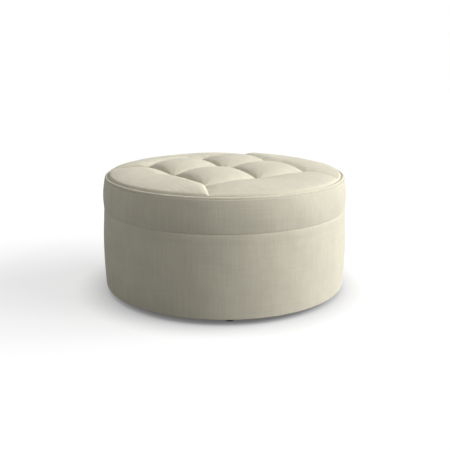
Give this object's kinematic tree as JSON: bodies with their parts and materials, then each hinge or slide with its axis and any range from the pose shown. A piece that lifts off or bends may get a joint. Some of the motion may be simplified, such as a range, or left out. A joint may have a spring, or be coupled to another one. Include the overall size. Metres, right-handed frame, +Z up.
{
  "type": "ottoman coffee table",
  "caption": "Low round drum ottoman for use as a coffee table, with a blind-tufted top, a welted band and a plain upholstered base on hidden glides.",
  "frame": {"origin": "on the floor, on the drum's axis", "axes": "+Z up along the drum's axis; the rows of tufts run along X and Y, and the cloth joins are at the back, between +X and +Y"},
  "size_m": [0.9138, 0.9136, 0.4758],
  "materials": {
    "oatmeal_linen": "woven linen look, matt, fine slubs",
    "wadding": "white polyester fibre",
    "foam": "open-cell upholstery foam, cream",
    "piping_cord": "soft cotton cord",
    "twine": "waxed nylon tufting twine",
    "dust_cloth": "black non-woven cloth",
    "plywood": "raw birch plywood",
    "softwood": "planed pine",
    "fibreboard": "bent hardboard",
    "fixing_steel": "zinc plated",
    "glide_nylon": "black moulded nylon"
  },
  "bodies": {
    "root": {"glides": "glide_nylon", "glide_nails": "fixing_steel", "dust_cover": "dust_cloth", "bottom_ring": "plywood", "top_ring": "plywood", "posts": "softwood", "post_screws": "fixing_steel", "deck_rails": "plywood", "rail_screws": "fixing_steel", "wall_panel": "fibreboard", "wall_wadding": "wadding", "base_cover": "oatmeal_linen", "deck_panel": "plywood", "deck_bolts": "fixing_steel", "bolt_washers": "fixing_steel", "tee_nuts": "fixing_steel", "foam_core": "foam", "band_wadding": "wadding", "boxing_band": "oatmeal_linen", "edge_welt": "oatmeal_linen", "welt_cord": "piping_cord", "top_fill": "wadding", "top_cover": "oatmeal_linen", "tuft_twines": "twine", "tuft_anchors": "fixing_steel"}
  },
  "joints": []
}
